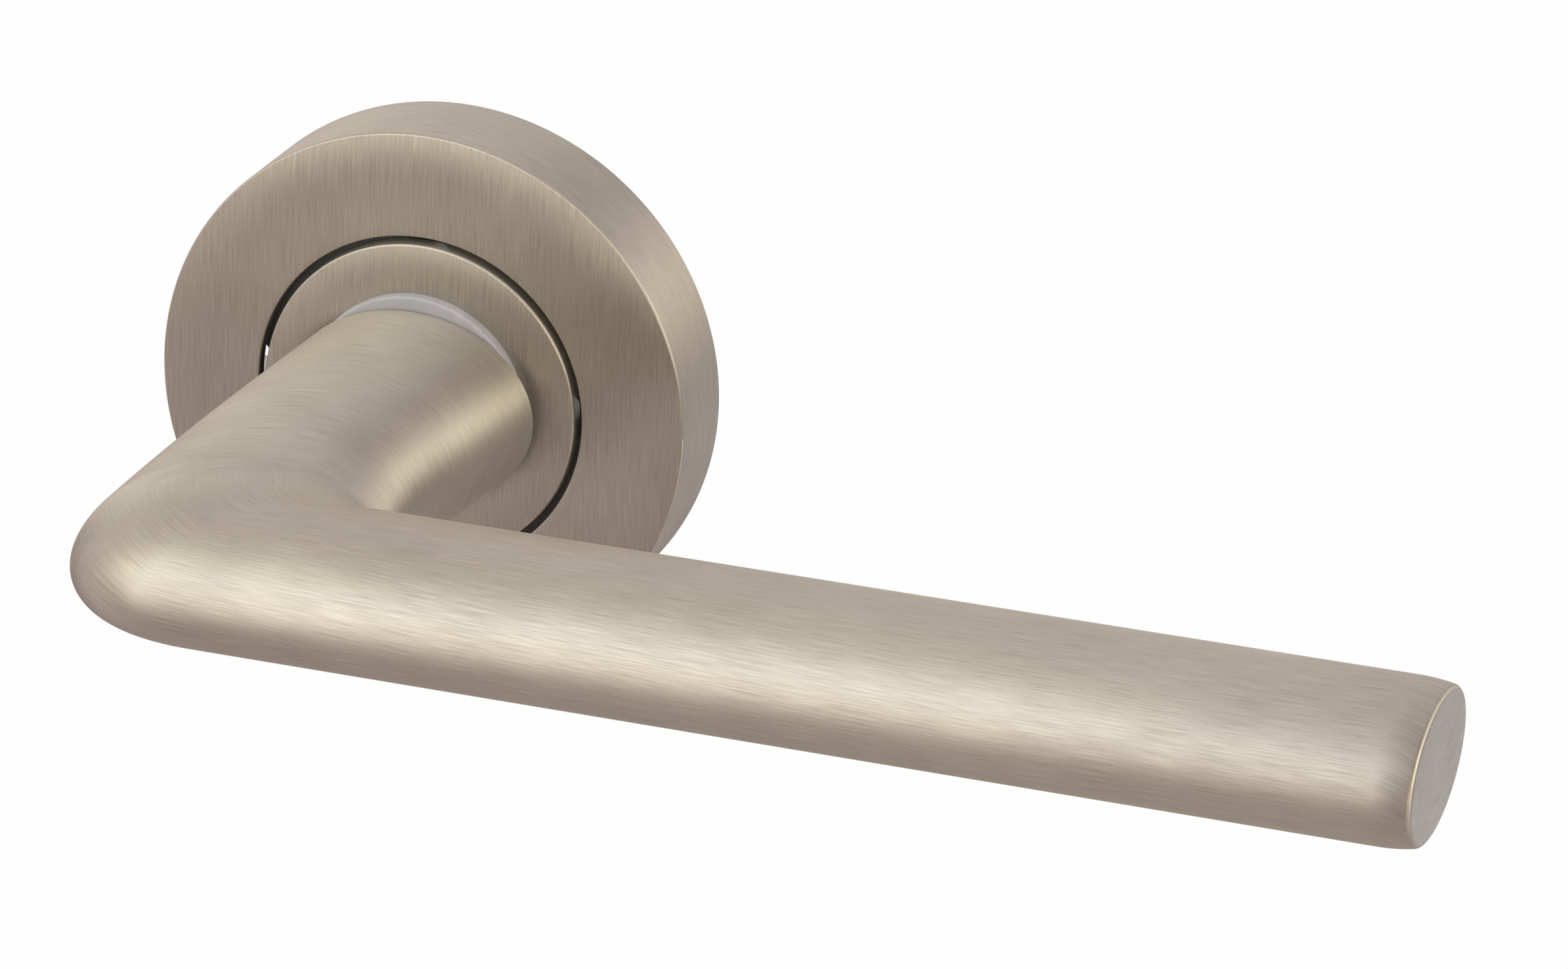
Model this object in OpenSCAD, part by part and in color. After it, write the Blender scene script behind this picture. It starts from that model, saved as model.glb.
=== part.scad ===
// Sprung door lever handle on a round rose.
// The origin is on the spindle's axis, in the plane of the door's face. +Z is up, +X runs along the
// lever and -Y points away from the door, towards the hand. Every sub-part is drawn standing on
// the door, with its own Z as the height above the door, and outward() turns it to face -Y.

/* [Rose cover] */
// Diameter of the round rose
rose_d = 52; // [46:0.5:64]
// Height of the rose's face above the door
rose_h = 10.55; // [10.2:0.05:14]
// Thickness of the cover's side wall
cover_wall = 1.2; // [0.8:0.1:2]
// Thickness of the cover's face
cover_face = 1.3; // [0.8:0.1:1.6]
// Radius of the cover's outer edge
cover_edge_r = 0.25; // [0.1:0.05:0.6]
// Width of the band where the cover's face curves down to its edge
crown_w = 5; // [2:0.5:8]
// How far the face has come down at its edge
crown_drop = 0.35; // [0.1:0.05:0.8]
// Gap between the cover's hole and the collar
groove_gap = 0.7; // [0.4:0.1:2]
// Clearance between the cover and the base inside it
cover_clear = 0.3; // [0.2:0.05:0.6]

/* [Collar and bush] */
// Diameter of the collar around the neck
collar_d = 30.9; // [30:0.1:34]
// How far the collar stands above the cover's face
collar_proud = 0.35; // [0.2:0.05:2]
// Thickness of the collar
collar_t = 1.9; // [1.6:0.1:2.5]
// Radius of the collar's outer edge
collar_edge_r = 0.7; // [0.3:0.1:1]
// Thickness of the bush's flange
bush_flange_t = 1.1; // [0.6:0.1:2]
// How far the flange reaches beyond the bush's sleeve
bush_flange_w = 0.55; // [0.3:0.05:1.2]
// Wall of the bush's sleeve
bush_wall = 1.15; // [0.8:0.05:1.4]
// Running clearance between the lever's journal and the bush
journal_clear = 0.05; // [0.02:0.01:0.1]
// Clearance between pieces that fit together and don't turn
fit_clear = 0.05; // [0.02:0.01:0.1]
// End clearance between the lever's shoulder and the bush
shoulder_clear = 0.2; // [0.1:0.05:0.4]

/* [Lever] */
// Distance from the spindle's axis to the lever's tip
lever_reach = 108.2; // [90:0.1:130]
// Distance from the door to the front of the grip
lever_projection = 65.6; // [55:0.1:75]
// Size of the grip's oval section away from the door
grip_depth = 20.6; // [15:0.1:24]
// Size of the grip's oval section from bottom to top
grip_height = 13.1; // [12.8:0.1:20]
// Radius of the rounded outer corner
corner_r = 9.8; // [4:0.1:16]
// Radius of the inner corner
inner_r = 2; // [1:0.1:5]
// Half height of the neck where it meets the rose
neck_half_h = 9.4; // [9.2:0.1:11]
// Reach of the neck's end from the axis, on the outer side
neck_out = 12.4; // [10.5:0.1:13]
// Reach of the neck's end from the axis, on the grip's side
neck_in = 12; // [10.5:0.1:13]
// Reach of the neck at the corner, on the outer side
corner_out = 14; // [11:0.1:16]
// Reach of the neck at the corner, on the grip's side
corner_in = 8.8; // [7.5:0.1:11]
// Radius of the edge around the end of the grip
tip_r = 0.6; // [0.3:0.1:2]
// How late the neck's height comes down to the grip's height
neck_blend = 2; // [1:0.1:4]
// Diameter of the round journal
journal_d = 18; // [17:0.1:21.6]
// Step from the journal down to the hub inside the spring case
hub_step = 1; // [0.8:0.1:1.4]
// Depth of the hub's two flats that drive the spring driver
flat_depth = 1.6; // [0.6:0.1:1.7]
// Height of the hub's inner end above the door
hub_end = 1.2; // [1.2:0.1:1.4]

/* [Spindle and grub screw] */
// Side of the square spindle
spindle_w = 8; // [6:0.1:8]
// How far the spindle stands out behind the door's face
spindle_back = 34; // [20:1:45]
// Height of the spindle's end inside the neck
spindle_front = 31; // [26:1:38]
// Clearance on each side of the spindle in its socket
socket_clear = 0.075; // [0.04:0.005:0.15]
// Diameter of the grub screw
grub_d = 6; // [4:0.5:6]
// Height of the grub screw above the door
grub_h = 22; // [18:0.5:25]
// Depth of the grub screw's end below the neck's surface
grub_recess = 0.7; // [0.3:0.1:1.5]
// Size of the grub screw's hexagon socket
grub_key = 3; // [2:0.5:3]

/* [Base and spring case] */
// Thickness of the base's rim
base_rim_t = 4; // [3:0.1:5]
// Wall around the spring case
case_wall = 2.8; // [2:0.1:4]
// Thickness of the base between the spring case and the collar
case_face_t = 1.2; // [1:0.1:1.6]
// Wall between the spring case and a bolt's pocket, which puts the two bolts 38 apart
bolt_wall = 0.8; // [0.6:0.1:1.5]
// Diameter of the hole for a through bolt
bolt_hole_d = 4.4; // [4:0.1:5]
// Wall of the sleeve that lines a bolt hole
eyelet_wall = 0.6; // [0.4:0.1:0.8]
// Diameter of the pocket around a bolt's head
bolt_pocket_d = 8; // [7.4:0.1:8.6]
// Diameter of the hole for a wood screw
wood_hole_d = 4.2; // [3.5:0.1:5]
// Thickness of the plate that closes the spring case
rear_plate_t = 1; // [0.8:0.1:1]
// How far the rear plate laps over the wall around the spring case
rear_plate_lap = 1.6; // [1.4:0.1:1.8]
// Diameter of the screws of the rear plate and the collar
small_screw_d = 2; // [1.6:0.1:2]
// Diameter of the snap ring's wire
ring_wire_d = 1; // [0.8:0.1:1.2]
// Height of the snap ring above the door
ring_h = 2.2; // [1:0.1:3]

/* [Spring and its driver] */
// Diameter of the spring's wire
wire_d = 1.2; // [0.8:0.05:1.45]
// Wall of the driver's sleeve, inside the spring's coil
driver_wall = 2.1; // [1.5:0.1:2.4]
// Thickness of the driver's plate
driver_plate_t = 0.8; // [0.6:0.1:1]
// Width of the driver's finger
finger_w = 1.8; // [1.4:0.1:3]
// Thickness of the driver's finger
finger_t = 0.75; // [0.5:0.05:0.9]
// Furthest the lever turns each way, in degrees
turn_max = 45; // [30:1:45]
// Diameter of the pin that holds the spring's legs
pin_d = 1; // [0.6:0.1:1]

/* [Hidden] */
$fn = 96;
cut = 1;

// Radii of the stack of round pieces, from the hub outwards
journal_r = journal_d / 2;
hub_r = journal_r - hub_step;
hub_flats = 2 * (hub_r - flat_depth);
bush_in_r = journal_r + journal_clear;
bush_out_r = bush_in_r + bush_wall;
bush_flange_r = bush_out_r + bush_flange_w;
bush_bore_r = bush_out_r + fit_clear;
collar_r = collar_d / 2;
cover_hole_r = collar_r + groove_gap;
rose_r = rose_d / 2;
cover_in_r = rose_r - cover_wall;
base_r = cover_in_r - cover_clear;

// Heights above the door, from the door outwards
collar_top = rose_h + collar_proud;
collar_low = collar_top - collar_t;
bush_top = collar_top + bush_flange_t;
shoulder_h = bush_top + shoulder_clear;
case_top = collar_low - case_face_t;
boss_step_h = rose_h - cover_face - cover_clear;
socket_r = spindle_w / 2 + socket_clear;
socket_top = spindle_front + 1;

// Retaining parts on the hub's inner end
clip_t = 0.9;
clip_slack = 0.05;
clip_low = hub_end + 0.35;
clip_high = clip_low + clip_t;
clip_groove_r = hub_r - 0.8;
clip_out_r = hub_r + 1.4;
thrust_low = clip_high + clip_slack;
thrust_t = 0.4;
thrust_out_r = hub_r + 3;
driver_low = thrust_low + thrust_t + clip_slack;
wave_t = 0.45;
driver_high = case_top - wave_t - 0.1;

// The driver's sleeve, the spring's coil around it, then the finger and the pin between its legs
driver_sleeve_r = hub_r + driver_wall;
coil_r = driver_sleeve_r + 0.5 + wire_d / 2;
finger_in_r = coil_r + wire_d / 2 + 0.3;
finger_out_r = finger_in_r + finger_t;
finger_angle = asin(finger_w / 2 / finger_in_r);
pin_r = finger_out_r + 0.3 + pin_d / 2;
case_r = pin_r + pin_d / 2 + fit_clear;
boss_r = case_r + case_wall;
bolt_spacing = 2 * (case_r + bolt_wall) + bolt_pocket_d;

// The spring's coil runs between the driver's plate and the base
coil_low = driver_low + driver_plate_t + 0.15 + wire_d / 2;
coil_high = case_top - 0.25 - wire_d / 2;
coil_turns = max(1, floor((coil_high - coil_low) / (1.02 * wire_d)));
pin_low = driver_low + driver_plate_t + 0.3;
leg_angle = finger_angle + asin((wire_d / 2 + 0.1) / finger_in_r);

// Posts in the spring case carry the rear plate's screws and stop the driver's finger
post_w = 16;
post_stop = turn_max + finger_angle + 1.5;
post_mid = 90 - post_stop - post_w / 2;
post_angles = [post_mid, 180 - post_mid, 180 + post_mid, 360 - post_mid];
post_in_r = coil_r + wire_d / 2 + 0.25;
post_screw_r = case_r - 0.45;
plate_clear = 0.1;
rear_plate_r = case_r + rear_plate_lap;
recess_r = rear_plate_r + plate_clear;

// Small screws: a flat countersunk head on a plain shank
screw_r = small_screw_d / 2;
head_r = screw_r * 1.7;
head_h = head_r - screw_r;
cross_l = 1.9 * screw_r;
cross_w = 0.45;
cross_depth = 0.6;
collar_screw_r = (bush_bore_r + case_r) / 2;
collar_screw_angles = [0, 120, 240];
collar_screw_end = collar_top - 0.7;
rear_screw_end = 5;

// The cover's snap ring lies in a groove around the base
ring_r = ring_wire_d / 2;
ring_mid_r = cover_in_r - 0.05 - ring_r;

eyelet_r = bolt_hole_d / 2 + eyelet_wall;
wood_head_r = 4;
grub_r = grub_d / 2;

// Pockets that lighten the base from behind, three between each two screw holes
pocket_t = 1.2;
pocket_wall = 1.3;
pocket_in_r = recess_r + pocket_wall;
pocket_out_r = ring_mid_r - ring_r - fit_clear - pocket_wall;
pocket_margin = asin((wood_head_r + 0.9) / (bolt_spacing / 2));
pocket_rib = 3.8;
pocket_angle = (90 - 2 * pocket_margin - 2 * pocket_rib) / 3;

// Turns a piece that stands on the door so that its height points along -Y
module outward() {
    rotate([90, 0, 0]) children();
}

module ring(out_r, in_r, low, high) {
    translate([0, 0, low]) difference() {
        cylinder(r = out_r, h = high - low);
        translate([0, 0, -cut]) cylinder(r = in_r, h = high - low + 2 * cut);
    }
}

// A disc whose upper outer edge is rounded
module soft_disc(r, low, high, edge) {
    rotate_extrude() {
        translate([0, low]) square([r - edge, high - low]);
        translate([0, low]) square([r, high - low - edge]);
        translate([r - edge, high - edge]) intersection() {
            circle(r = edge, $fn = 32);
            square(edge);
        }
    }
}

// A disc whose upper face curves down towards its edge, which is rounded
function crown_h(x, r, high) = high - crown_drop * pow(max(0, 1 - (r - x) / crown_w), 2.6);
module crowned_disc(r, low, high, edge) {
    shoulder = r - edge;
    edge_low = crown_h(shoulder, r, high) - edge;
    rotate_extrude() polygon(concat(
        [[0, low], [r, low]],
        [for (a = [0:22.5:90]) [shoulder + edge * cos(a), edge_low + edge * sin(a)]],
        [for (i = [1:8]) let (x = shoulder - i / 8 * (crown_w - edge)) [x, crown_h(x, r, high)]],
        [[0, high]]
    ));
}

// A round shaft with two flats, seen from its end
module flatted(r, across) {
    intersection() {
        circle(r = r);
        square([across, 2 * r + cut], center = true);
    }
}

// A countersunk screw with its head's face at height 0, a cross recess in it and its shank up
module small_screw(length) {
    difference() {
        union() {
            cylinder(r1 = head_r, r2 = screw_r, h = head_h);
            cylinder(r = screw_r, h = length);
        }
        for (a = [45, 135]) rotate([0, 0, a]) translate([-cross_l / 2, -cross_w / 2, -cut])
            cube([cross_l, cross_w, cut + cross_depth]);
    }
}

module small_screw_hole(length) {
    translate([0, 0, -cut]) cylinder(r = head_r + fit_clear + cut, h = cut);
    cylinder(r1 = head_r + fit_clear, r2 = screw_r + fit_clear, h = head_h);
    cylinder(r = screw_r + fit_clear, h = length + 0.15);
}

// The lever is a row of oval sections. Each section is [outer point, inner point, half height], and
// the outer and inner points are on the two sides of the bent bar as it is seen from above.
grip_front = lever_projection;
grip_back = lever_projection - grip_depth;
grip_half_h = grip_height / 2;
corner_share = 0.3;
side_count = 48;
neck_steps = 8;
corner_steps = 14;
tip_steps = 4;

function half_height(t) =
    grip_half_h + (neck_half_h - grip_half_h) * (1 + cos(180 * pow(t, neck_blend))) / 2;
function neck_half_at(h) =
    half_height((1 - corner_share) * (h - shoulder_h) / (grip_front - corner_r - shoulder_h));

function neck_section(s) = [
    [-neck_out + (neck_out - corner_out) * s, shoulder_h + (grip_front - corner_r - shoulder_h) * s],
    [neck_in + (corner_in - neck_in) * s, shoulder_h + (grip_back - inner_r - shoulder_h) * s],
    half_height((1 - corner_share) * s)
];
function corner_section(s) = [
    [-corner_out + corner_r * (1 - cos(90 * s)), grip_front - corner_r * (1 - sin(90 * s))],
    [corner_in + inner_r * (1 - cos(90 * s)), grip_back - inner_r * (1 - sin(90 * s))],
    half_height(1 - corner_share + corner_share * s)
];
function tip_section(a) = let (in = tip_r * (1 - cos(a)), x = lever_reach - tip_r * (1 - sin(a))) [
    [x, grip_front - in],
    [x, grip_back + in],
    grip_half_h - in
];

sections = concat(
    [for (i = [0:neck_steps - 1]) neck_section(i / neck_steps)],
    [for (i = [0:corner_steps]) corner_section(i / corner_steps)],
    [for (i = [0:tip_steps]) tip_section(90 * i / tip_steps)]
);

function section_ring(s) = let (mid = (s[0] + s[1]) / 2, half = (s[1] - s[0]) / 2)
    [for (k = [0:side_count - 1]) let (a = 360 * k / side_count) [
        mid[0] + half[0] * cos(a), s[2] * sin(a), mid[1] + half[1] * cos(a)
    ]];

// A closed skin over a list of rings that all have the same number of points
module skin(rings) {
    n = len(rings[0]);
    last = len(rings) - 1;
    sides = [for (i = [0:last - 1], k = [0:n - 1]) let (a = i * n + k, b = i * n + (k + 1) % n)
        each [[a, a + n, b + n], [a, b + n, b]]];
    ends = [[for (k = [0:n - 1]) k], [for (k = [0:n - 1]) last * n + n - 1 - k]];
    polyhedron(points = [for (r = rings) each r], faces = concat(sides, ends));
}

module lever() {
    color("#b3aa9d") outward() difference() {
        union() {
            skin([for (s = sections) section_ring(s)]);
            translate([0, 0, case_top]) cylinder(r = journal_r, h = shoulder_h - case_top + cut);
            difference() {
                translate([0, 0, hub_end]) linear_extrude(shoulder_h - hub_end + cut)
                    flatted(hub_r, hub_flats);
                ring(hub_r + cut, clip_groove_r, clip_low - clip_slack, clip_high + clip_slack);
            }
        }
        translate([-socket_r, -socket_r, 0]) cube([2 * socket_r, 2 * socket_r, socket_top]);
        translate([0, 0, grub_h]) rotate([90, 0, 0])
            cylinder(r = grub_r + fit_clear, h = neck_half_h + cut);
    }
}

module spindle() {
    bevel = 0.8;
    length = spindle_front + spindle_back;
    color("#a9a7a4") outward() intersection() {
        translate([-spindle_w / 2, -spindle_w / 2, -spindle_back])
            cube([spindle_w, spindle_w, length]);
        translate([0, 0, -spindle_back])
            cylinder(r1 = spindle_w / sqrt(2) - bevel, r2 = spindle_w / sqrt(2) - bevel + length,
                h = length);
    }
}

module grub_screw() {
    low = spindle_w / 2 + fit_clear;
    high = neck_half_at(grub_h) - grub_recess;
    key_depth = 2.2;
    color("#3c3a38") outward() translate([0, 0, grub_h]) rotate([90, 0, 0]) difference() {
        translate([0, 0, low]) cylinder(r = grub_r, h = high - low);
        translate([0, 0, high - key_depth])
            cylinder(r = grub_key / sqrt(3), h = key_depth + cut, $fn = 6);
    }
}

module rose_cover() {
    color("#9c9084") outward() difference() {
        crowned_disc(rose_r, 0, rose_h, cover_edge_r);
        translate([0, 0, -cut]) cylinder(r = cover_in_r, h = rose_h - cover_face + cut);
        translate([0, 0, -cut]) cylinder(r = cover_hole_r, h = rose_h + 2 * cut);
    }
}

module cover_snap_ring() {
    gap = 30;
    color("#8d8f92") outward() translate([0, 0, ring_h]) rotate([0, 0, -90 + gap / 2])
        rotate_extrude(angle = 360 - gap) translate([ring_mid_r, 0]) circle(r = ring_r, $fn = 24);
}

module neck_collar() {
    color("#a99f92") outward() difference() {
        soft_disc(collar_r, collar_low, collar_top, collar_edge_r);
        cylinder(r = bush_bore_r, h = collar_top + cut);
        for (a = collar_screw_angles) rotate([0, 0, a]) translate([collar_screw_r, 0, case_top])
            small_screw_hole(collar_screw_end - case_top);
    }
}

module collar_screws() {
    color("#8d8f92") outward() for (a = collar_screw_angles)
        rotate([0, 0, a]) translate([collar_screw_r, 0, case_top])
            small_screw(collar_screw_end - case_top);
}

module neck_bush() {
    color("#a4a5b0") outward() {
        difference() {
            union() {
                translate([0, 0, case_top]) cylinder(r = bush_out_r, h = bush_top - case_top);
                translate([0, 0, collar_top]) cylinder(r = bush_flange_r, h = bush_flange_t);
            }
            cylinder(r = bush_in_r, h = bush_top + cut);
        }
    }
}

module base_plate() {
    color("#4a4c50") outward() difference() {
        union() {
            cylinder(r = base_r, h = base_rim_t);
            cylinder(r = boss_r, h = boss_step_h);
            cylinder(r = collar_r - cover_clear, h = collar_low);
        }
        // The spring case, open towards the door, with a post for each rear plate screw
        difference() {
            translate([0, 0, -cut]) cylinder(r = case_r, h = case_top + cut);
            for (a = post_angles) rotate([0, 0, a - post_w / 2])
                rotate_extrude(angle = post_w) translate([post_in_r, rear_plate_t])
                    square([case_r - post_in_r + cut, case_top - rear_plate_t + cut]);
        }
        cylinder(r = bush_bore_r, h = collar_low + cut);
        // The recess for the rear plate, and its screws' holes
        translate([0, 0, -cut]) cylinder(r = recess_r, h = rear_plate_t + cut);
        for (a = post_angles) rotate([0, 0, a]) translate([post_screw_r, 0, 0])
            cylinder(r = screw_r + fit_clear, h = rear_screw_end + 0.3);
        for (a = collar_screw_angles) rotate([0, 0, a]) translate([collar_screw_r, 0, case_top])
            small_screw_hole(collar_screw_end - case_top);
        rotate([0, 0, 90]) translate([pin_r, 0, case_top - cut])
            cylinder(r = pin_d / 2 + fit_clear, h = cut + collar_low - case_top - 0.2);
        // Two through bolts beside the case, two wood screws above and below it
        for (x = [-1, 1]) translate([x * bolt_spacing / 2, 0, 0]) {
            translate([0, 0, -cut]) cylinder(r = eyelet_r + fit_clear, h = base_rim_t + 2 * cut);
            translate([0, 0, base_rim_t]) cylinder(r = bolt_pocket_d / 2, h = rose_h);
        }
        for (y = [-1, 1]) translate([0, y * bolt_spacing / 2, 0]) {
            translate([0, 0, -cut]) cylinder(r = wood_hole_d / 2, h = base_rim_t + 2 * cut);
            translate([0, 0, base_rim_t - wood_head_r + wood_hole_d / 2])
                cylinder(r1 = wood_hole_d / 2, r2 = wood_head_r, h = wood_head_r - wood_hole_d / 2);
            translate([0, 0, base_rim_t]) cylinder(r = wood_head_r, h = rose_h);
        }
        translate([0, 0, ring_h]) rotate_extrude()
            translate([ring_mid_r, 0]) circle(r = ring_r + fit_clear, $fn = 24);
        for (side = [0:90:270], i = [0:2])
            rotate([0, 0, side + pocket_margin + i * (pocket_angle + pocket_rib)])
                rotate_extrude(angle = pocket_angle) translate([pocket_in_r, -cut])
                    square([pocket_out_r - pocket_in_r, base_rim_t - pocket_t + cut]);
    }
}

module bolt_eyelets() {
    color("#8d8f92") outward() for (x = [-1, 1]) translate([x * bolt_spacing / 2, 0, 0])
        ring(eyelet_r, bolt_hole_d / 2, 0, base_rim_t);
}

// The spring's wire follows a coil whose two ends swing outwards into legs beside the finger
function flare(u) = (pin_r + pin_d / 2 - wire_d / 2 - coil_r) * u * u;
function wire_point(a, total, out) =
    let (u = max(0, 1 - a / out, 1 - (total - a) / out), r = coil_r + flare(u))
    [r * cos(90 - leg_angle - a), r * sin(90 - leg_angle - a),
        coil_low + (coil_high - coil_low) * a / total];

module return_spring() {
    total = 360 * coil_turns - 2 * leg_angle;
    out = 10;
    fine = 2.5;
    coarse = 12;
    steps = concat([for (a = [0:fine:out - fine]) a], [for (a = [out:coarse:total - out - fine]) a],
        [for (a = [out:-fine:0]) total - a]);
    path = [for (a = steps) wire_point(a, total, out)];
    last = len(path) - 1;
    color("#8d8f92") outward() skin([for (i = [0:last])
        let (ahead = path[min(last, i + 1)] - path[max(0, i - 1)], way = ahead / norm(ahead),
            side = cross(way, [0, 0, 1]) / norm(cross(way, [0, 0, 1])), up = cross(side, way))
        [for (k = [0:9]) path[i] + wire_d / 2 * (cos(36 * k) * side + sin(36 * k) * up)]]);
}

module spring_anchor_pin() {
    color("#8d8f92") outward() rotate([0, 0, 90]) translate([pin_r, 0, pin_low])
        cylinder(r = pin_d / 2, h = collar_low - 0.25 - pin_low);
}

module spring_driver() {
    color("#77726a") outward() difference() {
        translate([0, 0, driver_low]) {
            cylinder(r = driver_sleeve_r, h = driver_high - driver_low);
            cylinder(r = coil_r + wire_d / 2, h = driver_plate_t);
            translate([-finger_w / 2, 0, 0]) intersection() {
                cube([finger_w, finger_out_r + cut, driver_plate_t]);
                translate([finger_w / 2, 0, 0]) cylinder(r = finger_out_r, h = driver_plate_t);
            }
            intersection() {
                ring(finger_out_r, finger_in_r, 0, driver_high - driver_low);
                translate([-finger_w / 2, 0, 0]) cube([finger_w, 2 * coil_r, case_top]);
            }
        }
        linear_extrude(case_top + cut) flatted(hub_r + fit_clear, hub_flats + 2 * fit_clear);
    }
}

module wave_washer() {
    wave = 0.12;
    rise = driver_high + 0.05 + wave;
    thick = wave_t - 2 * wave - 0.05;
    color("#8d8f92") outward() skin_ring([for (k = [0:71]) let (a = 5 * k, z = rise + wave * cos(3 * a))
        [for (p = [[hub_r + 0.2, 0], [bush_out_r - 0.05, 0], [bush_out_r - 0.05, thick],
            [hub_r + 0.2, thick]]) [p[0] * cos(a), p[0] * sin(a), z + p[1]]]]);
}

// A closed band over a circle of rings, the last of which joins the first
module skin_ring(rings) {
    n = len(rings[0]);
    count = len(rings);
    polyhedron(points = [for (r = rings) each r],
        faces = [for (i = [0:count - 1], k = [0:n - 1])
            let (j = (i + 1) % count, a = i * n + k, b = i * n + (k + 1) % n,
                c = j * n + k, d = j * n + (k + 1) % n)
            each [[a, b, d], [a, d, c]]]);
}

module thrust_washer() {
    color("#8d8f92") outward()
        ring(thrust_out_r, hub_r + 0.1, thrust_low, thrust_low + thrust_t);
}

module circlip() {
    gap = 3.2;
    ear_r = 1.2;
    color("#3c3a38") outward() difference() {
        union() {
            ring(clip_out_r, clip_groove_r + fit_clear, clip_low, clip_high);
            for (x = [-1, 1]) translate([x * (gap / 2 + ear_r), -clip_out_r, clip_low])
                cylinder(r = ear_r, h = clip_t);
        }
        translate([-gap / 2, -clip_out_r - 2 * ear_r, clip_low - cut])
            cube([gap, clip_out_r, clip_t + 2 * cut]);
        for (x = [-1, 1]) translate([x * (gap / 2 + ear_r), -clip_out_r, 0])
            cylinder(r = 0.5, h = clip_high + cut);
    }
}

module rear_plate() {
    color("#8d8f92") outward() difference() {
        cylinder(r = rear_plate_r, h = rear_plate_t);
        translate([0, 0, -cut])
            cylinder(r = spindle_w / sqrt(2) + 0.5, h = rear_plate_t + 2 * cut);
        for (a = post_angles) rotate([0, 0, a]) translate([post_screw_r, 0, 0])
            small_screw_hole(rear_plate_t + cut);
    }
}

module rear_plate_screws() {
    color("#77726a") outward() for (a = post_angles)
        rotate([0, 0, a]) translate([post_screw_r, 0, 0]) small_screw(rear_screw_end);
}

lever();
spindle();
grub_screw();
rose_cover();
cover_snap_ring();
neck_collar();
collar_screws();
neck_bush();
base_plate();
bolt_eyelets();
return_spring();
spring_anchor_pin();
spring_driver();
wave_washer();
thrust_washer();
circlip();
rear_plate();
rear_plate_screws();
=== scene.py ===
import bmesh
import bpy
import numpy as np
from mathutils import Matrix, Vector


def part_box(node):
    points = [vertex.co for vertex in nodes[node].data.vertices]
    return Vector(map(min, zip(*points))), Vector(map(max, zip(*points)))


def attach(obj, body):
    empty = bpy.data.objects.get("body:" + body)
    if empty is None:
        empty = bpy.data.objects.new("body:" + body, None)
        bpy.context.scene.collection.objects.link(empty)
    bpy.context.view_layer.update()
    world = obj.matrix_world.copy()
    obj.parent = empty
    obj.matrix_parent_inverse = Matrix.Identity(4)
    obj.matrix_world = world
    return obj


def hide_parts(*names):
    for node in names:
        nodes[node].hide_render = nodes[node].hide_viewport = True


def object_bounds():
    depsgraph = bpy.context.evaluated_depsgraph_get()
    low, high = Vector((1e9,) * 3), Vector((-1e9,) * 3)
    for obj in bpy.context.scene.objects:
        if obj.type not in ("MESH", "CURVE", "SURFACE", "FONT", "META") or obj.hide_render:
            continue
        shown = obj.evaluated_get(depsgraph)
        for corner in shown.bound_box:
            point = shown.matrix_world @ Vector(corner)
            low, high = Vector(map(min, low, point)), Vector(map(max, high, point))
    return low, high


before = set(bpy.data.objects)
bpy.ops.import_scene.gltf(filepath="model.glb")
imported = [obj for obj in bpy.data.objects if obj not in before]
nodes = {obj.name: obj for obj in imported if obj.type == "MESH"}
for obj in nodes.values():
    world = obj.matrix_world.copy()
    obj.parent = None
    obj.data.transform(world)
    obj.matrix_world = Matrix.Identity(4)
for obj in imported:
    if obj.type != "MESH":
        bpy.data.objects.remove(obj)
cad_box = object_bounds()
mm = 0.001

# --- Camera -----------------------------------------------------------------------------------
# A long lens looks down on the handle from the front and a little from the right, so that the
# lever's free end comes towards it. The position is in mm from the spindle's axis at the door.
camera_place = Vector((210.2, -547.0, 221.4)) * mm
camera_azimuth, camera_elevation, camera_roll = np.radians([17.985, 21.669, 1.938])

camera = bpy.data.objects.new("camera", bpy.data.cameras.new("camera"))
camera.data.sensor_width = 36
camera.data.lens = 151.8
camera.data.clip_start = 0.05
camera.data.clip_end = 20
camera_turn = (
    Matrix.Rotation(camera_azimuth, 4, "Z")
    @ Matrix.Rotation(np.pi / 2 - camera_elevation, 4, "X")
    @ Matrix.Rotation(camera_roll, 4, "Z")
)
camera.matrix_world = Matrix.Translation(camera_place) @ camera_turn
bpy.context.scene.collection.objects.link(camera)
bpy.context.scene.camera = camera
bpy.context.scene.view_settings.view_transform = "Standard"


# --- Studio -----------------------------------------------------------------------------------
# A white floor below the handle, in a white room, with a tent of lit cloth between the room and
# the handle.
def node(tree, kind, inputs=(), links=(), **settings):
    """Adds a node to the tree, with its settings, its unlinked sockets' values and its links."""
    made = tree.nodes.new(kind)
    for name, value in settings.items():
        setattr(made, name, value)
    for socket, value in dict(inputs).items():
        made.inputs[socket].default_value = value
    for socket, source in dict(links).items():
        tree.links.new(source, made.inputs[socket])
    return made


def linear(colour):
    """An sRGB hex colour as linear red, green, blue and alpha."""
    parts = np.array([int(colour[i : i + 2], 16) for i in (1, 3, 5)]) / 255
    low, high = parts / 12.92, ((parts + 0.055) / 1.055) ** 2.4
    return (*np.where(parts <= 0.04045, low, high), 1.0)


def new_material(name):
    """A new material and its node tree."""
    material = bpy.data.materials.new(name)
    material.use_nodes = True
    return material, material.node_tree


def seen_directly(tree):
    """1 for a ray that comes from the camera, a mirror or a glass, and 0 for all others."""
    path = node(tree, "ShaderNodeLightPath")
    either = node(tree, "ShaderNodeMath", operation="MAXIMUM",
                  links={0: path.outputs["Is Camera Ray"], 1: path.outputs["Is Glossy Ray"]})
    return node(tree, "ShaderNodeMath", operation="MAXIMUM",
                links={0: either.outputs[0], 1: path.outputs["Is Transmission Ray"]}).outputs[0]


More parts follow.
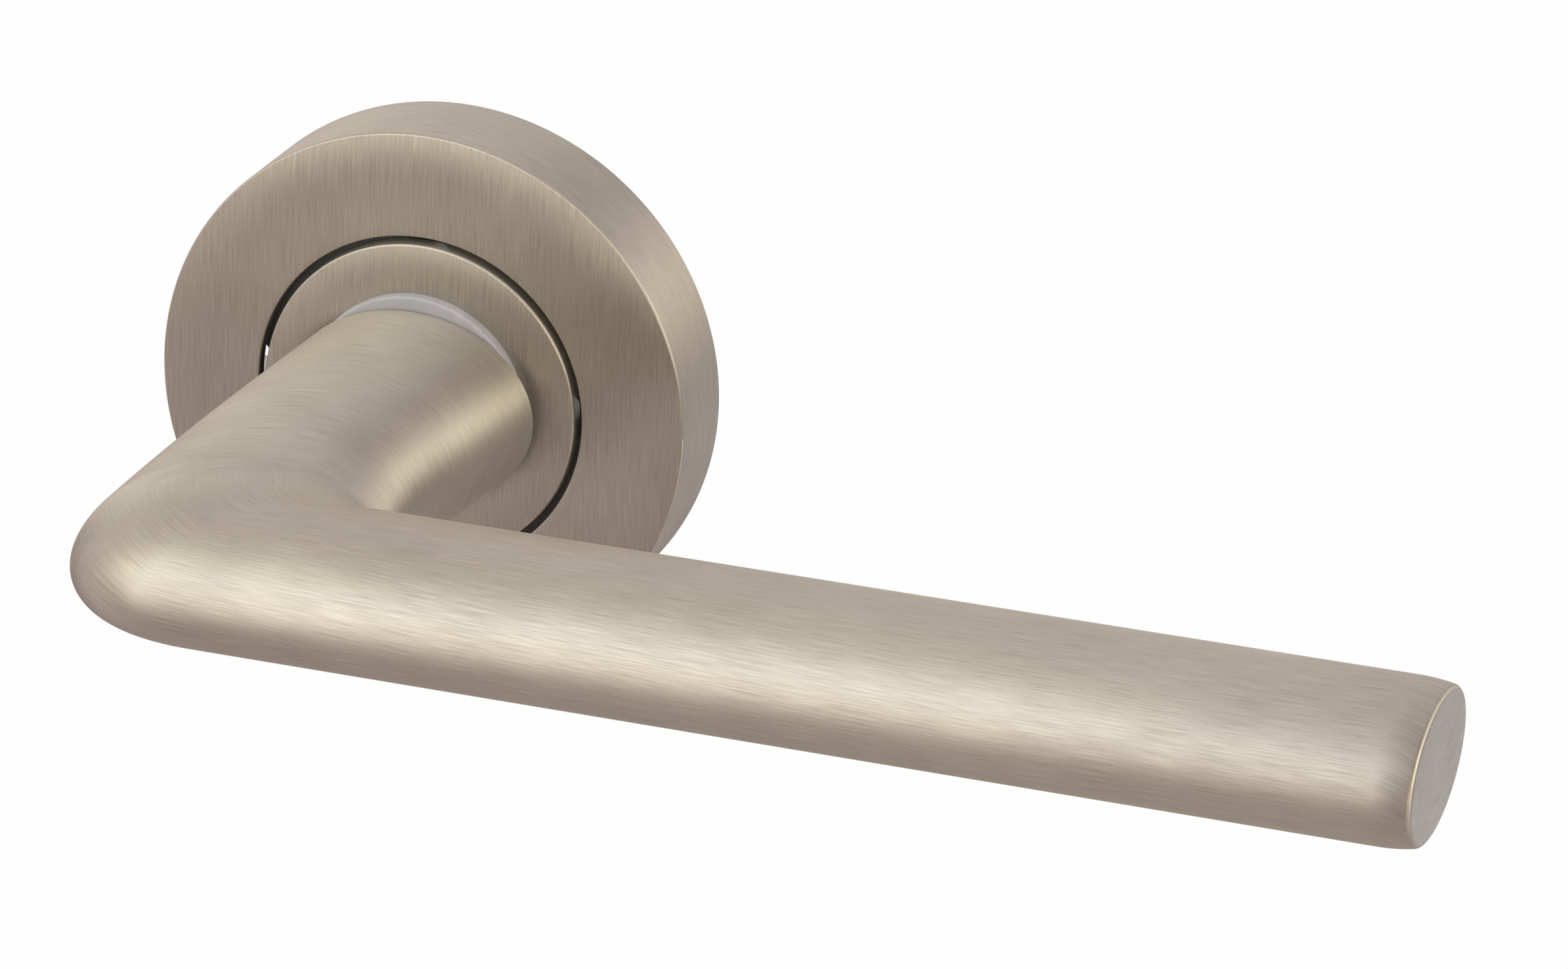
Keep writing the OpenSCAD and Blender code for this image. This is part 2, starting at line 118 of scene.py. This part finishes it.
world = bpy.data.worlds.new("white_room")
world.use_nodes = True
bpy.context.scene.world = world
world.node_tree.nodes.clear()
room = node(world.node_tree, "ShaderNodeBackground", {"Color": linear("#ffffff"), "Strength": 1})
node(world.node_tree, "ShaderNodeOutputWorld", links={"Surface": room.outputs[0]})

# Where it is seen directly the floor is nearly as white as the room, and a tenth of its paint is
# left to take the handle's shadow
floor_height, floor_half = -1.0, 5.0
floor_white = 0.9
corners = [(x * floor_half, y * floor_half, floor_height)
           for x, y in ((-1, -1), (1, -1), (1, 1), (-1, 1))]
floor_mesh = bpy.data.meshes.new("floor")
floor_mesh.from_pydata(corners, [], [(0, 1, 2, 3)])
floor = bpy.data.objects.new("floor", floor_mesh)
bpy.context.scene.collection.objects.link(floor)
floor_paint, tree = new_material("white_floor_paint")
tree.nodes.clear()
paint = node(tree, "ShaderNodeBsdfDiffuse", {"Color": linear("#f4f3f0")})
white = node(tree, "ShaderNodeEmission", {"Color": linear("#ffffff"), "Strength": 1})
whiteness = node(tree, "ShaderNodeMath", {1: floor_white}, {0: seen_directly(tree)},
                 operation="MULTIPLY")
surface = node(tree, "ShaderNodeMixShader",
               links={0: whiteness.outputs[0], 1: paint.outputs[0], 2: white.outputs[0]})
node(tree, "ShaderNodeOutputMaterial", links={"Surface": surface.outputs[0]})
floor_mesh.materials.append(floor_paint)

# The light tent is cloth on a ball-shaped frame around the handle and is lit from outside, so that
# the metal has soft bright and dark places to reflect. The camera doesn't see it. Each light is a
# soft round patch on the cloth, and the room's spread is so wide that it is even all round.
tent_radius = 0.85
tent_step = 4
tent_lights = {
    # azimuth and elevation from the front, spread in degrees, strength, colour
    "room": (0, 0, 1000, 0.37, "#ffe9e3"),
    "key": (-20, 48, 24, 1.38, "#f4faff"),
    "key_left": (-58, 40, 26, 1.1, "#fffde6"),
    "key_low": (-20, 8, 18, 1.6, "#fff8e8"),
    "left": (-105, 20, 28, 0.36, "#ffffff"),
    "left_low": (-75, -25, 26, 0.42, "#fff2ee"),
    "right": (75, 12, 18, 0.5, "#fff8dc"),
    "right_front": (45, 20, 18, 0.35, "#ffe6b0"),
    "right_low": (75, -30, 24, 0.35, "#ffffff"),
    "front_right": (40, 4, 15, 1.2, "#fff4d4"),
    "side": (92, 20, 17, 3.2, "#fff8e4"),
    "side_high": (128, 27, 17, 0.7, "#ffffff"),
    "under": (0, -88, 28, 0.2, "#ffffff"),
    "back_high": (180, 45, 34, 0.46, "#ffffff"),
    "back_left": (-140, 15, 24, 0.3, "#ffffff"),
    "back_low": (165, -22, 20, 0.5, "#e4f2ff"),
}
tent_turn, tent_rise = np.meshgrid(np.radians(np.arange(0, 360, tent_step)),
                                   np.radians(np.arange(-90, 91, tent_step)))


def direction(turn, rise):
    """The way from the tent's middle at an azimuth from the front, to the right, and an elevation."""
    return np.stack([np.sin(turn) * np.cos(rise), -np.cos(turn) * np.cos(rise), np.sin(rise)], axis=-1)


def patch(azimuth, elevation, spread):
    """How much of a light each point of the tent gets: a bell curve of the angle to the light's middle."""
    middle = direction(*np.radians([azimuth, elevation]))
    angle = np.degrees(np.arccos(np.clip(direction(tent_turn, tent_rise) @ middle, -1, 1)))
    return np.exp(-(angle / spread) ** 2)


def grid_corners(count, width):
    """The row and the column of the four corners of each face of a grid of points. The grid closes
    on itself sideways, so the column after the last one stands for the first."""
    r, c = (grid.ravel() for grid in np.meshgrid(np.arange(count - 1), np.arange(width), indexing="ij"))
    return np.stack([r, r + 1, r + 1, r], axis=1), np.stack([c, c, c + 1, c + 1], axis=1)


tent_colour = sum(strength * patch(*place)[..., None] * np.array(linear(colour)[:3])
                  for *place, strength, colour in tent_lights.values())
rows, columns = grid_corners(*tent_turn.shape)
tent_width = tent_turn.shape[1]
handle_middle = np.mean(cad_box, axis=0)
tent_points = handle_middle + tent_radius * direction(tent_turn, tent_rise).reshape(-1, 3)
tent_mesh = bpy.data.meshes.new("light_tent")
tent_mesh.from_pydata(tent_points.tolist(), [], (rows * tent_width + columns % tent_width).tolist())
glow = tent_mesh.attributes.new("glow", "FLOAT_COLOR", "POINT")
opaque = np.ones_like(tent_turn)
glow.data.foreach_set("color", np.dstack([tent_colour, opaque]).astype(np.float32).ravel())
tent = bpy.data.objects.new("light_tent", tent_mesh)
bpy.context.scene.collection.objects.link(tent)
tent.visible_camera = False
tent_cloth, tree = new_material("tent_cloth_lit_from_outside")
tree.nodes.clear()
glow_colour = node(tree, "ShaderNodeAttribute", attribute_name="glow")
lit = node(tree, "ShaderNodeEmission", {"Strength": 1}, {"Color": glow_colour.outputs["Color"]})
node(tree, "ShaderNodeOutputMaterial", links={"Surface": lit.outputs[0]})
tent_cloth.cycles.emission_sampling = "NONE"
tent_mesh.materials.append(tent_cloth)

# --- Lever ------------------------------------------------------------------------------------
# One zinc casting, plated with nickel: an oval bar with a mitred corner that is rounded outside.
# The grip is brushed along its length and the neck around itself. Behind the rose it goes on as
# a round journal, then as a hub with two flats and the spindle's square socket.

# Sizes are in mm. A height, h, is measured out from the door, and r is a radius about the
# spindle's axis, which is also where x starts.
lever_low, lever_high = (np.array(corner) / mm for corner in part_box("lever"))
lever_reach, grip_front, hub_end = lever_high[0], -lever_low[1], -lever_high[1]
grip_depth, grip_half_h = 20.6, 6.55
grip_back = grip_front - grip_depth
corner_r, inner_r = 9.8, 2.0
neck_half_h, neck_out, neck_in = 9.4, 12.4, 12.0
corner_out, corner_in = 14.0, 8.8
corner_share = 0.3
shoulder_h, case_top = 12.2, 7.8
journal_r, hub_r, hub_flat = 9.0, 8.0, 6.4
clip_low, clip_high, clip_groove_r = 1.5, 2.5, 7.2
grub_h, grub_hole_r = 22.0, 3.05
socket_half, socket_top, hub_edge = 4.075, 32.0, 0.2
crisp = 0.01  # two rings this far apart keep a step between them sharp
buffed_length, buffed_depth, end_edge_r = 3.4, 0.3, 0.5
around = np.linspace(0, 2 * np.pi, 257)


def bar_half_height(t):
    """Half height of the bar: half a cosine wave from the neck's to the grip's, slow at first."""
    return grip_half_h + (neck_half_h - grip_half_h) * (1 + np.cos(np.pi * t**2)) / 2


def bar_rings(outer_x, outer_h, inner_x, inner_h, half_height):
    """Oval rings in mm: in plan each goes from its outer to its inner point by the cosine of the
    angle, and it goes up and down by the sine."""
    swing = (1 - np.cos(around)) / 2
    x = inner_x[:, None] + (outer_x - inner_x)[:, None] * swing
    h = inner_h[:, None] + (outer_h - inner_h)[:, None] * swing
    return np.stack([x, -h, half_height[:, None] * np.sin(around)], axis=-1)


def neck_rings(s):
    """The neck, whose two sides run straight from the shoulder to the corner."""
    return bar_rings(-neck_out + (neck_out - corner_out) * s,
                     shoulder_h + (grip_front - corner_r - shoulder_h) * s,
                     neck_in + (corner_in - neck_in) * s,
                     shoulder_h + (grip_back - inner_r - shoulder_h) * s,
                     bar_half_height((1 - corner_share) * s))


def corner_rings(s):
    """The corner as a fan: the outer and the inner point each go round a quarter circle."""
    across, along = 1 - np.cos(np.pi / 2 * s), 1 - np.sin(np.pi / 2 * s)
    return bar_rings(-corner_out + corner_r * across, grip_front - corner_r * along,
                     corner_in + inner_r * across, grip_back - inner_r * along,
                     bar_half_height(1 - corner_share + corner_share * s))


def grip_rings(outer_x, inner_x, inset):
    """The grip and its end, drawn in by an inset all round."""
    return bar_rings(outer_x, grip_front - inset, inner_x, grip_back + inset, grip_half_h - inset)


def round_rings(heights, reach):
    """Rings around the spindle's axis, at heights above the door. Reach is the radius at each angle."""
    ring = np.stack([reach * np.cos(around), 0 * around, reach * np.sin(around)], axis=-1)
    return ring - np.array(heights)[:, None, None] * np.array([0, 1, 0])


def arc_lengths(rings):
    """How far each point is around its ring, and how far its ring is along the rings."""
    step = np.linalg.norm(np.diff(rings, axis=1), axis=-1)
    girth = np.concatenate([np.zeros((len(rings), 1)), np.cumsum(step, axis=1)], axis=1)
    reach = np.linalg.norm(np.diff(rings, axis=0), axis=-1).mean(axis=1)
    length = np.concatenate([[0], np.cumsum(reach)])
    return girth, np.repeat(length[:, None], rings.shape[1], axis=1)


def ring_mesh(name, rings, uv_maps):
    """A closed skin over rings whose last point repeats the first. A uv map gives each point of
    the grid its place in mm, and runs on past the seam because it is kept per face corner."""
    width = rings.shape[1] - 1
    rows, columns = grid_corners(len(rings), width)
    mesh = bpy.data.meshes.new(name)
    points = rings[:, :-1].reshape(-1, 3) * mm
    mesh.from_pydata(points.tolist(), [], (rows * width + columns % width).tolist())
    for uv_name, grid in uv_maps.items():
        layer = mesh.uv_layers.new(name=uv_name)
        layer.uv.foreach_set("vector", grid[rows, columns].astype(np.float32).ravel())
    mesh.shade_smooth()
    return mesh


def merged(mesh):
    """The mesh with points that lie on each other joined, which closes its poles."""
    work = bmesh.new()
    work.from_mesh(mesh)
    bmesh.ops.remove_doubles(work, verts=work.verts, dist=1e-7)
    bmesh.ops.recalc_face_normals(work, faces=work.faces)
    work.to_mesh(mesh)
    work.free()
    return mesh


def bored(mesh, radius, start, end):
    """The mesh with a round hole cut straight through it from start to end, all in mm."""
    start, end = Vector(start) * mm, Vector(end) * mm
    turned = (end - start).to_track_quat("Z", "Y").to_matrix().to_4x4()
    middle = Matrix.Translation((start + end) / 2)
    work = bmesh.new()
    bmesh.ops.create_cone(work, cap_ends=True, segments=64, radius1=radius * mm, radius2=radius * mm,
                          depth=(end - start).length, matrix=middle @ turned)
    drill_mesh = bpy.data.meshes.new("drill")
    work.to_mesh(drill_mesh)
    work.free()
    blank, drill = bpy.data.objects.new("blank", mesh), bpy.data.objects.new("drill", drill_mesh)
    for made in (blank, drill):
        bpy.context.scene.collection.objects.link(made)
    cut = blank.modifiers.new("cut", "BOOLEAN")
    cut.operation, cut.solver, cut.object = "DIFFERENCE", "EXACT", drill
    evaluated = blank.evaluated_get(bpy.context.evaluated_depsgraph_get())
    drilled = bpy.data.meshes.new_from_object(evaluated)
    drilled.name = mesh.name + "_bored"
    for made in (blank, drill):
        bpy.data.objects.remove(made)
    return drilled


def fitted(mesh, body, cad_node, material):
    """Makes the piece that stands for a CAD node and rides on the node's body."""
    mesh.set_sharp_from_angle(angle=np.radians(35))
    mesh.materials.append(material)
    piece = bpy.data.objects.new(mesh.name, mesh)
    bpy.context.scene.collection.objects.link(piece)
    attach(piece, body)
    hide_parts(cad_node)


neck_s, corner_s, grip_s = np.linspace(0, 1, 65), np.linspace(0, 1, 97)[1:], np.linspace(0, 1, 41)[1:]
# The grip is buffed thinner for its last few millimetres, in a curve that starts level and goes
# over into the round edge of the end without a kink
grip_outer, grip_inner = corner_r - corner_out, corner_in + inner_r
buffed_start = lever_reach - buffed_length
end_slope = np.arctan(2 * buffed_depth / buffed_length)
end_turn = np.linspace(end_slope, np.pi / 2, 13)
end_x = lever_reach - end_edge_r * (1 - np.sin(end_turn))
buffed_s = np.linspace(0, 1, 19)[1:-1]
buffed_x = buffed_start + (end_x[0] - buffed_start) * buffed_s
grip_flat = np.zeros_like(grip_s)
bar = np.concatenate([
    neck_rings(neck_s),
    corner_rings(corner_s),
    grip_rings(grip_outer + (buffed_start - grip_outer) * grip_s,
               grip_inner + (buffed_start - grip_inner) * grip_s, grip_flat),
    grip_rings(buffed_x, buffed_x, buffed_depth * buffed_s**2),
    grip_rings(end_x, end_x, buffed_depth + end_edge_r * (np.cos(end_slope) - np.cos(end_turn))),
])
end_middle = np.array([lever_reach, -(grip_front + grip_back) / 2, 0])
end_face = bar[-1] + (end_middle - bar[-1]) * np.linspace(0, 1, 9)[1:, None, None]
to_side, to_top = np.abs(np.cos(around)), np.abs(np.sin(around))
flatted = hub_flat / np.maximum(to_side, hub_flat / hub_r)
square = socket_half / np.maximum(to_side, to_top)
journal = np.full_like(around, journal_r)
inside = np.concatenate([
    round_rings([socket_top], 0 * around),
    round_rings([socket_top, hub_end + hub_edge], square),
    round_rings([hub_end], square + hub_edge),
    round_rings([hub_end], flatted - hub_edge),
    round_rings([hub_end + hub_edge, clip_low], flatted),
    round_rings([clip_low + crisp, clip_high - crisp], np.minimum(flatted, clip_groove_r)),
    round_rings([clip_high, case_top], flatted),
    round_rings([case_top, shoulder_h - 15 * crisp, shoulder_h - crisp], journal),
])
rings = np.concatenate([inside, bar, end_face])
girth, length = arc_lengths(rings)
# Both uv maps have the direction across the brush lines first and the one along them second. The
# end face, with the last rings of the round edge, is brushed straight across, from back to front
end_edge_rings = 4
grip_lines = np.stack([girth, length], axis=-1)
neck_lines = np.stack([length, girth], axis=-1)
on_end = len(inside) + len(bar) - end_edge_rings
grip_lines[on_end:] = rings[on_end:][..., [2, 1]]

# Brushed nickel plate on the zinc casting: warm grey, and blurred across the brush lines much
# more than along them. Real lines are about 0.03 mm apart, too fine to show, so they are drawn
# in clusters, and the wear of a hand softens them a little in places.
line_width, line_length, line_depth = 0.12, 4.8, 0.003
wear_size, wear_share = 9.0, 0.25
tone_reach = 0.2
grip_roughness, neck_roughness, roughness_change = 0.38, 0.45, 0.02


def brush_lines(tree, uv_map):
    """Noise drawn out along the brush lines, from a uv map in mm."""
    place = node(tree, "ShaderNodeUVMap", uv_map=uv_map)
    drawn = node(tree, "ShaderNodeMapping", {"Scale": (1 / line_width, 1 / line_length, 1)},
                 {"Vector": place.outputs[0]})
    return node(tree, "ShaderNodeTexNoise", {"Scale": 1, "Detail": 3, "Roughness": 0.65},
                {"Vector": drawn.outputs[0]}, noise_dimensions="2D").outputs[0]


def mottle(tree, size, detail, distortion=0.0):
    """Noise that fills the piece, with spots of a size in mm."""
    place = node(tree, "ShaderNodeTexCoord").outputs["Object"]
    return node(tree, "ShaderNodeTexNoise",
                {"Scale": 1 / (size * mm), "Detail": detail, "Distortion": distortion},
                {"Vector": place}).outputs[0]


def surfaced(tree, pattern, reach, dark, light, roughness, height, depth):
    """Sets up the shader and returns it. Its colour goes from dark to light as the pattern goes
    from its middle value less reach to its middle value plus reach. The relief's depth is in mm."""
    shade = node(tree, "ShaderNodeMapRange", {1: 0.5 - reach, 2: 0.5 + reach}, {0: pattern})
    colour = node(tree, "ShaderNodeMix", {6: linear(dark), 7: linear(light)}, {0: shade.outputs[0]},
                  data_type="RGBA")
    relief = node(tree, "ShaderNodeBump", {"Strength": 1, "Distance": depth * mm}, {"Height": height})
    shader = tree.nodes["Principled BSDF"]
    tree.links.new(colour.outputs[2], shader.inputs["Base Color"])
    tree.links.new(roughness, shader.inputs["Roughness"])
    tree.links.new(relief.outputs[0], shader.inputs["Normal"])
    return shader


def brushed_nickel(name, dark, light, uv_map, neck_uv_map=None):
    """Satin nickel, brushed along the lines of a uv map. Where there is a neck, its own uv map and
    roughness take over as the attribute neck_share goes from 0 to 1."""
    material, tree = new_material(name)
    lines = brush_lines(tree, uv_map)
    across = node(tree, "ShaderNodeTangent", direction_type="UV_MAP", uv_map=uv_map).outputs[0]
    roughness = node(tree, "ShaderNodeMath", {0: grip_roughness})
    if neck_uv_map:
        neck = node(tree, "ShaderNodeAttribute", attribute_name="neck_share").outputs["Fac"]
        around_neck = brush_lines(tree, neck_uv_map)
        along_neck = node(tree, "ShaderNodeTangent", direction_type="UV_MAP", uv_map=neck_uv_map)
        neck_base = node(tree, "ShaderNodeMapRange", {3: grip_roughness, 4: neck_roughness}, {0: neck})
        lines = node(tree, "ShaderNodeMix", links={0: neck, 2: lines, 3: around_neck}).outputs[0]
        across = node(tree, "ShaderNodeMix", links={0: neck, 4: across, 5: along_neck.outputs[0]},
                      data_type="VECTOR").outputs[1]
        tree.links.new(neck_base.outputs[0], roughness.inputs[0])
    wear = node(tree, "ShaderNodeMath", {1: wear_share}, {0: mottle(tree, wear_size, 2)},
                operation="MULTIPLY")
    tone = node(tree, "ShaderNodeMath", {1: 1 - wear_share}, {0: lines, 2: wear.outputs[0]},
                operation="MULTIPLY_ADD").outputs[0]
    change = node(tree, "ShaderNodeMapRange",
                  {1: 0.5 - tone_reach, 2: 0.5 + tone_reach, 3: roughness_change, 4: -roughness_change},
                  {0: tone})
    tree.links.new(change.outputs[0], roughness.inputs[1])
    shader = surfaced(tree, tone, tone_reach, dark, light, roughness.outputs[0], lines, line_depth)
    shader.inputs["Metallic"].default_value = 1
    shader.inputs["Anisotropic"].default_value = 0.9
    tree.links.new(across, shader.inputs["Tangent"])
    return material


nickel_on_lever = brushed_nickel("satin_nickel_brushed_lever", "#b4afa5", "#d3cfc4",
                                 "grip_lines", "neck_lines")
uv_maps = {"grip_lines": grip_lines, "neck_lines": neck_lines}
lever_mesh = merged(ring_mesh("lever_casting", rings, uv_maps))
lever_mesh = bored(lever_mesh, grub_hole_r, (0, -grub_h, 0), (0, -grub_h, -neck_half_h - 1))

# The grip's brushing gives way to the neck's over this length, about the mitre, which runs from
# the corner's outer edge to its inner one
changeover, grip_side = 18, 0.4
places = np.empty(len(lever_mesh.vertices) * 3)
lever_mesh.vertices.foreach_get("co", places)
x, y, _ = places.reshape(-1, 3).T / mm
mitre_h = grip_front - (x + corner_out) / (corner_in + corner_out) * (grip_front - grip_back)
neck_share = np.clip(grip_side + (mitre_h + y) / changeover, 0, 1)
neck_share = neck_share**2 * (3 - 2 * neck_share)
neck_layer = lever_mesh.attributes.new("neck_share", "FLOAT", "POINT")
neck_layer.data.foreach_set("value", neck_share.astype(np.float32))
fitted(lever_mesh, "handle", "lever", nickel_on_lever)

# --- Rose cover -------------------------------------------------------------------------------
# A cup pressed from steel sheet and plated like the lever. Its face is brushed up and down and
# curves down to a fairly sharp edge, and its side is brushed around.
cover_low, cover_high = (np.array(corner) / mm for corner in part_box("rose_cover"))
rose_r, rose_h = cover_high[0], -cover_low[1]
cover_wall, cover_face, cover_edge_r = 1.2, 1.3, 0.25
crown_w, crown_drop, crown_power = 5.0, 0.35, 2.6
cover_hole_r, hole_edge_r, foot_edge = 16.15, 0.12, 0.1
point_step = 0.6


def quarter(centre_r, centre_h, radius, start, count=7):
    """A quarter of a circle in a profile, anticlockwise from a start angle in degrees."""
    turned = np.radians(start + np.linspace(0, 90, count))
    return np.stack([centre_r + radius * np.cos(turned), centre_h + radius * np.sin(turned)], axis=1)


def crown(r):
    """Height of the cover's face: it falls by a power of how far it is into the crown's width."""
    return rose_h - crown_drop * np.maximum(0, 1 - (rose_r - r) / crown_w) ** crown_power


def even(profile):
    """The profile with more points along its long straight runs."""
    made = [profile[:1]]
    for start, end in zip(profile[:-1], profile[1:]):
        pieces = max(1, int(np.ceil(np.linalg.norm(end - start) / point_step)))
        made.append(start + (end - start) * np.linspace(0, 1, pieces + 1)[1:, None])
    return np.concatenate(made)


def turned_rings(profile):
    """The rings of a profile of radii and heights, closed and carried around the axis, and the
    height of each ring."""
    closed = even(np.concatenate([profile, profile[:1]]))
    return np.concatenate([round_rings([h], np.full_like(around, r)) for r, h in closed]), closed[:, 1]


def face_and_side_lines(rings, on_face):
    """A uv map of brush lines in mm: up and down on the rings of the face, and around the others."""
    girth, length = arc_lengths(rings)
    return np.where(on_face[:, None, None], rings[..., [0, 2]], np.stack([length, girth], axis=-1))


crown_r = np.linspace(rose_r - cover_edge_r, rose_r - crown_w, 25)
edge_h = crown(crown_r[0]) - cover_edge_r
cover_profile = np.concatenate([
    [[rose_r - cover_wall, 0], [rose_r - foot_edge, 0], [rose_r, foot_edge]],
    quarter(rose_r - cover_edge_r, edge_h, cover_edge_r, 0),
    np.stack([crown_r, crown(crown_r)], axis=1)[1:],
    quarter(cover_hole_r + hole_edge_r, rose_h - hole_edge_r, hole_edge_r, 90),
    [[cover_hole_r, rose_h - cover_face], [rose_r - cover_wall, rose_h - cover_face]],
])
cover_rings, ring_h = turned_rings(cover_profile)
cover_lines = face_and_side_lines(cover_rings, ring_h > edge_h + 0.7 * cover_edge_r)
cover_mesh = merged(ring_mesh("cover_shell", cover_rings, {"lines": cover_lines}))
nickel_on_rose = brushed_nickel("satin_nickel_brushed_rose", "#b5b0a6", "#d1cdc2", "lines")
fitted(cover_mesh, "cover", "rose_cover", nickel_on_rose)

# --- Collar -----------------------------------------------------------------------------------
# A turned ring around the neck, plated and brushed up and down like the cover's face, with a
# softly rounded outer edge that catches the light.
collar_low, collar_high = (np.array(corner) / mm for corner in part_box("neck_collar"))
collar_r, collar_top, collar_foot = collar_high[0], -collar_low[1], -collar_high[1]
collar_edge_r, collar_bore_r = 0.3, 10.25
dome_w, dome_drop, dome_power = 3.2, 0.24, 2.2
dome_r = np.linspace(collar_r - collar_edge_r, collar_r - dome_w, 21)
dome_h = collar_top - dome_drop * (1 - (collar_r - dome_r) / dome_w) ** dome_power
collar_profile = np.concatenate([
    [[collar_bore_r, collar_foot], [collar_r, collar_foot]],
    quarter(collar_r - collar_edge_r, dome_h[0] - collar_edge_r, collar_edge_r, 0, 9),
    np.stack([dome_r, dome_h], axis=1)[1:],
    quarter(collar_bore_r + hole_edge_r, collar_top - hole_edge_r, hole_edge_r, 90),
])
collar_rings, ring_h = turned_rings(collar_profile)
collar_lines = face_and_side_lines(collar_rings, ring_h > dome_h[0] - 0.3 * collar_edge_r)
collar_mesh = merged(ring_mesh("collar_ring", collar_rings, {"lines": collar_lines}))
fitted(collar_mesh, "rose", "neck_collar", nickel_on_rose)

# --- Neck bush --------------------------------------------------------------------------------
# A moulded nylon ring that the lever turns in. Its flange shows as a pale grey crescent between
# the neck and the collar. Natural nylon is faintly bluish and lets some light into itself.
bush_low, bush_high = (np.array(corner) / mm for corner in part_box("neck_bush"))
bush_flange_r, bush_top, bush_foot = bush_high[0], -bush_low[1], -bush_high[1]
bush_bore_r, bush_sleeve_r, bush_edge_r = 9.05, 10.2, 0.25
bush_profile = np.concatenate([
    [[bush_bore_r, bush_foot], [bush_sleeve_r, bush_foot], [bush_sleeve_r, collar_top],
     [bush_flange_r, collar_top]],
    quarter(bush_flange_r - bush_edge_r, bush_top - bush_edge_r, bush_edge_r, 0),
    quarter(bush_bore_r + bush_edge_r, bush_top - bush_edge_r, bush_edge_r, 90),
])
bush_mesh = merged(ring_mesh("bush_ring", turned_rings(bush_profile)[0], {}))
flow_size = 6.0
light_depth = 1.5


def plastic(name, dark, light, roughness, grain, depth, lit_inside=0.0):
    """Moulded nylon: a matt skin with the mould's fine grain and faint flow marks. Lit_inside is
    how much of its colour comes from light that goes into it."""
    material, tree = new_material(name)
    flow = mottle(tree, flow_size, 3, 1.2)
    skin = mottle(tree, grain, 2)
    rough = node(tree, "ShaderNodeMapRange",
                 {1: 0.25, 2: 0.75, 3: roughness - 0.06, 4: roughness + 0.08}, {0: skin})
    shader = surfaced(tree, flow, 0.25, dark, light, rough.outputs[0], skin, depth)
    shader.inputs["IOR"].default_value = 1.53
    shader.inputs["Subsurface Weight"].default_value = lit_inside
    shader.inputs["Subsurface Radius"].default_value = (0.8, 0.9, 1.0)
    shader.inputs["Subsurface Scale"].default_value = light_depth * mm
    return material


grey_nylon = plastic("natural_nylon", "#b0b2b9", "#c0c2c9", 0.38, 0.5, 0.004, lit_inside=0.2)
fitted(bush_mesh, "rose", "neck_bush", grey_nylon)

# --- Base -------------------------------------------------------------------------------------
# The base is moulded in one piece from nylon filled with glass, almost black, with the glass
# just showing as a fine pale grain. It carries everything else and is bolted to the door.
black_nylon = plastic("glass_filled_nylon", "#3a3c3f", "#4c4e52", 0.48, 0.35, 0.012)


def finished(name, material):
    """Gives a piece that keeps its own shape its finish."""
    nodes[name].data.materials.clear()
    nodes[name].data.materials.append(material)


finished("base_plate", black_nylon)


# --- Zinc-plated steel ------------------------------------------------------------------------
# Pressed and turned steel parts behind the rose are zinc plated and passivated: a cool, slightly
# mottled silver, with a blue and a yellow cast where the film is thinner or thicker. The rear
# plate's screws are yellow all over.
def coated_steel(name, dark, light, roughness, patch_size, grain=0.2, depth=0.003):
    """Plated, oiled or blackened steel, with a mottled coat and the fine grain of the metal."""
    material, tree = new_material(name)
    patches = mottle(tree, patch_size, 4, 0.6)
    fine = mottle(tree, grain, 2)
    rough = node(tree, "ShaderNodeMapRange",
                 {1: 0.25, 2: 0.75, 3: roughness + 0.06, 4: roughness - 0.06}, {0: patches})
    shader = surfaced(tree, patches, 0.15, dark, light, rough.outputs[0], fine, depth)
    shader.inputs["Metallic"].default_value = 1
    return material


zinc = coated_steel("zinc_plated_steel", "#a9adb5", "#c6c6c0", 0.32, 5.0)
for name in ("bolt_eyelets", "rear_plate", "collar_screws", "thrust_washer"):
    finished(name, zinc)
yellow_zinc = coated_steel("yellow_passivated_steel", "#a8925c", "#c8b888", 0.34, 3.0)
finished("rear_plate_screws", yellow_zinc)

# --- Spindle and grub screw -------------------------------------------------------------------
# The spindle is cold-drawn square steel bar, zinc plated, a little brighter and finer than the
# pressed parts. The grub screw is hardened and blackened, and is turned with a hexagon key from
# below the neck.
drawn = coated_steel("drawn_zinc_plated_bar", "#9fa3a9", "#bdbebb", 0.3, 8.0, 0.15)
finished("spindle", drawn)
blackened = coated_steel("black_oxide_steel", "#2b2a2c", "#3d3b3a", 0.38, 2.0)
finished("grub_screw", blackened)

# --- Spring, snap ring, washer and circlip ----------------------------------------------------
# Spring steel wire and strip: the wire parts are oiled and bright, and the circlip is phosphated
# dark grey.
spring_wire = coated_steel("oiled_spring_wire", "#85878b", "#9a9b9a", 0.28, 2.5, 0.1)
for name in ("return_spring", "cover_snap_ring", "wave_washer", "spring_anchor_pin"):
    finished(name, spring_wire)
phosphated = coated_steel("phosphated_spring_steel", "#3a3b3c", "#4d4e4d", 0.5, 1.5)
finished("circlip", phosphated)

# --- Spring driver ----------------------------------------------------------------------------
# Pressed from iron powder and sintered, so it is matt, porous and a warm grey.
sintered = coated_steel("sintered_iron", "#6d6963", "#857f77", 0.55, 0.8, 0.12, 0.02)
finished("spring_driver", sintered)
